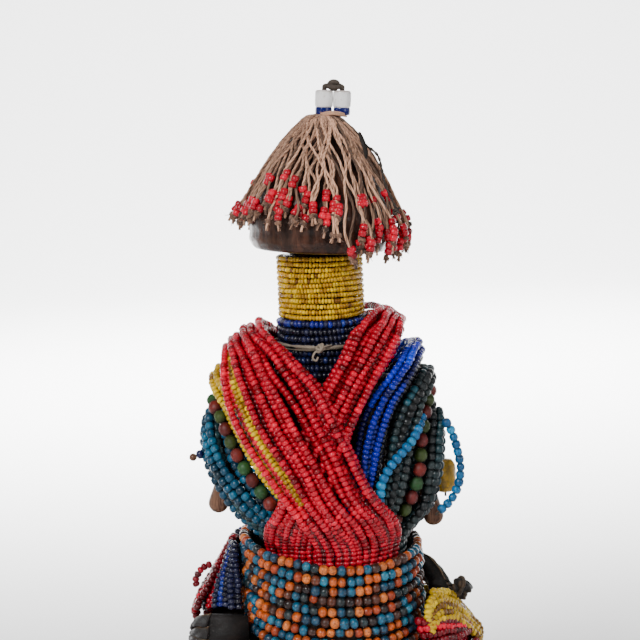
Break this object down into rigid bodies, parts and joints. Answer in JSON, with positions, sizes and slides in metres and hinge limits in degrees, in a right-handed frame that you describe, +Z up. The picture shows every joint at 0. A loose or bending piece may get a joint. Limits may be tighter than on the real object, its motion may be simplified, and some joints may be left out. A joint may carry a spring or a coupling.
{
  "type": "namji doll",
  "caption": "Carved wooden namji doll wrapped in glass bead strands, with a beaded neck and belt, a leather hip strap and a cap fringed with cords.",
  "frame": {"origin": "centre of the underside of the low carved base, on the surface the doll stands on", "axes": "+Z up from the base to the beads on the cap, +Y the way the doll faces, +X the side of the leather strap's knot"},
  "size_m": [0.1208, 0.0846, 0.3065],
  "materials": {
    "wood": "hand-polished, worn lighter at the arm tips",
    "red_beads": "glossy glass seed beads",
    "yellow_beads": "satin glass seed beads with brown grime",
    "navy_beads": "glossy glass seed beads",
    "blue_beads": "glossy glass beads",
    "turquoise_beads": "satin speckled glass beads",
    "teal_beads": "dull, grimy glass beads",
    "mixed_beads": "worn maroon and olive green glass beads",
    "belt_beads": "orange and blue glass beads, some faded dark",
    "white_beads": "stained white glass",
    "amber": "pitted, mottled amber-coloured bead",
    "brown_bead": "dull brown end bead",
    "cord": "plied cord with frayed knots",
    "sinew": "pale dry sinew",
    "thong": "dry dark thong",
    "leather": "matte blackened leather"
  },
  "bodies": {
    "root": {"wood_figure": "wood", "yellow_neck_beads": "yellow_beads", "dark_collar_beads": "navy_beads", "collar_tie": "sinew", "cord_fringe": "cord", "top_thong": "thong", "white_bead_left": "white_beads", "white_bead_right": "white_beads", "blue_bead_left": "blue_beads", "blue_bead_right": "blue_beads", "dark_head_cord": "thong", "red_strands_over": "red_beads", "red_strands_under": "red_beads", "yellow_strands": "yellow_beads", "blue_strands": "blue_beads", "turquoise_strands_left": "turquoise_beads", "turquoise_loop_right": "turquoise_beads", "teal_strands_inner": "teal_beads", "teal_strands_outer": "teal_beads", "big_bead_strand_left": "mixed_beads", "big_bead_strand_right": "mixed_beads", "amber_bead": "amber", "side_bead_blue": "blue_beads", "side_bead_brown": "brown_bead", "waist_belt_beads": "belt_beads", "hip_red_rows": "red_beads", "hip_red_strands_left": "red_beads", "hip_red_strands_right": "red_beads", "hip_red_loop_left": "red_beads", "hip_blue_strands_left": "navy_beads", "hip_strands_far": "navy_beads", "hip_yellow_strands_right": "yellow_beads", "hip_leather_strap": "leather"}
  },
  "joints": []
}
